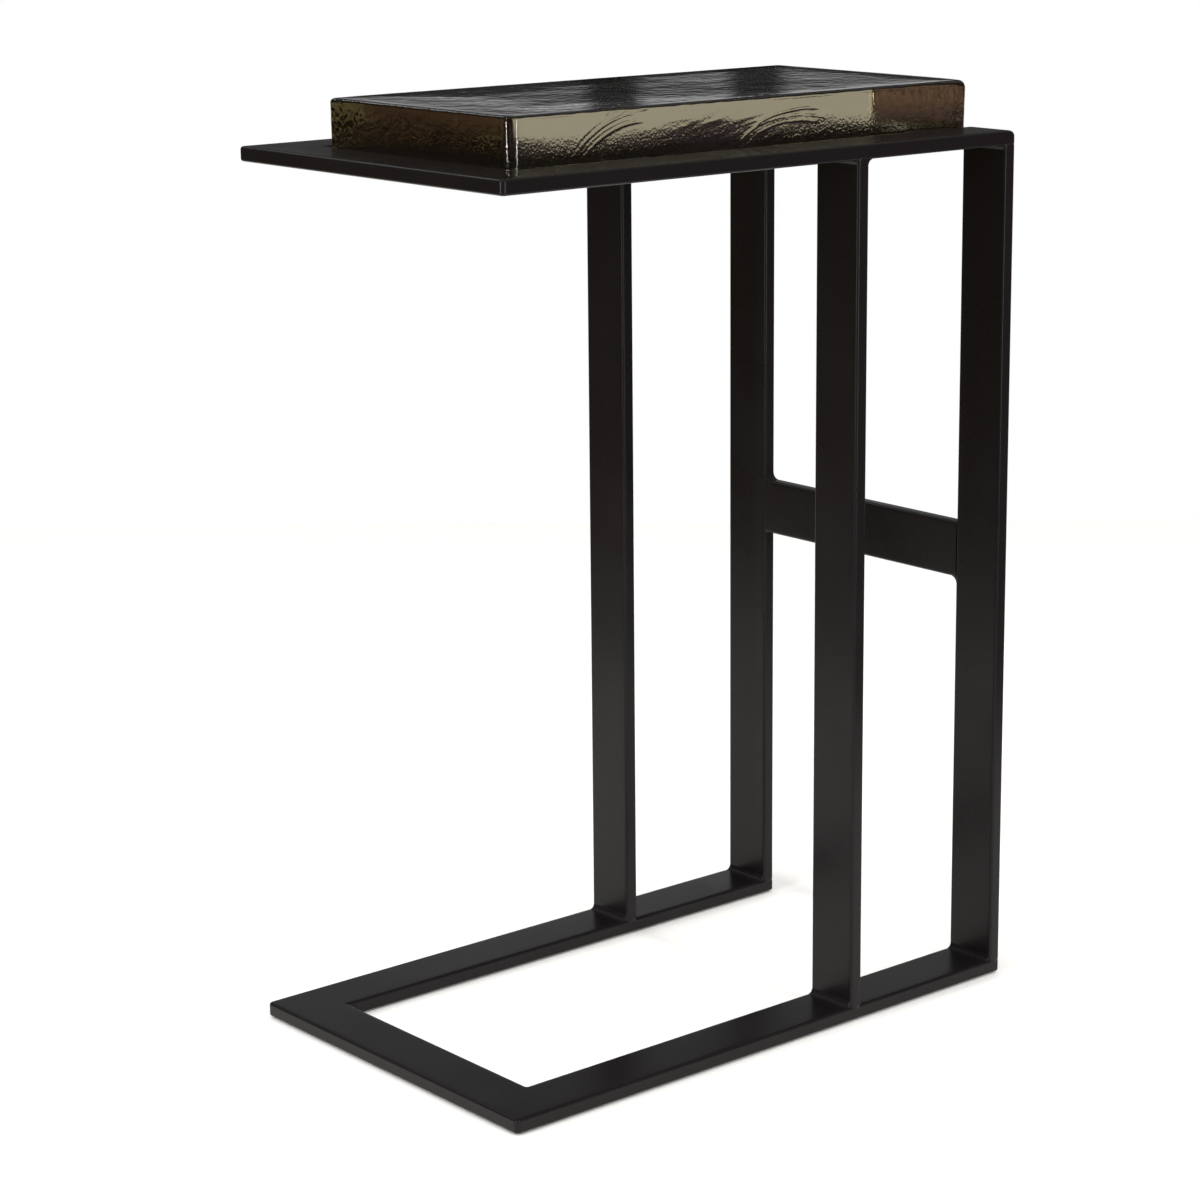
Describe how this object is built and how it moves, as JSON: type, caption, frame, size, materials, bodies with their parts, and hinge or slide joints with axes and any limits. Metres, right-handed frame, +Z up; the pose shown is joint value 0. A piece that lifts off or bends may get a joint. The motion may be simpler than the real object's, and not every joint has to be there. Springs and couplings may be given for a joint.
{
  "type": "c-shaped side table",
  "caption": "C-shaped slide-under side table: welded black flat-bar frame, open at the front, that carries a loose thick slab of smoky bronze cast glass.",
  "frame": {"origin": "on the floor under the middle of the table", "axes": "+X from the open front to the rear posts, +Y to the left seen from the open front, +Z up"},
  "size_m": [0.444, 0.278, 0.6365],
  "materials": {
    "black_coat": "satin black powder coat on welded steel flat bar",
    "bronze_glass": "cast smoky bronze glass, fire-polished, with ripples and chill marks, black on its underside",
    "clear_silicone": "moulded clear silicone",
    "black_felt": "pressed felt"
  },
  "bodies": {
    "frame": {"base_front_bar": "black_coat", "base_left_bar": "black_coat", "base_right_bar": "black_coat", "left_middle_post": "black_coat", "right_middle_post": "black_coat", "left_rear_post": "black_coat", "right_rear_post": "black_coat", "rear_crossbar": "black_coat", "top_front_bar": "black_coat", "top_left_bar": "black_coat", "top_right_bar": "black_coat", "glass_support_plate": "black_coat", "post_foot_welds": "black_coat", "post_head_welds": "black_coat", "flush_seam_welds": "black_coat", "crossbar_welds": "black_coat", "base_mitre_welds": "black_coat", "top_mitre_welds": "black_coat", "plate_welds": "black_coat", "glass_bumpers": "clear_silicone", "floor_pads": "black_felt"},
    "glass": {"glass_slab": "bronze_glass"}
  },
  "joints": [
    {"name": "glass_lift", "type": "slide", "parent": "frame", "child": "glass", "axis": [0, 0, 1], "range_m": [0, 0.08]}
  ]
}
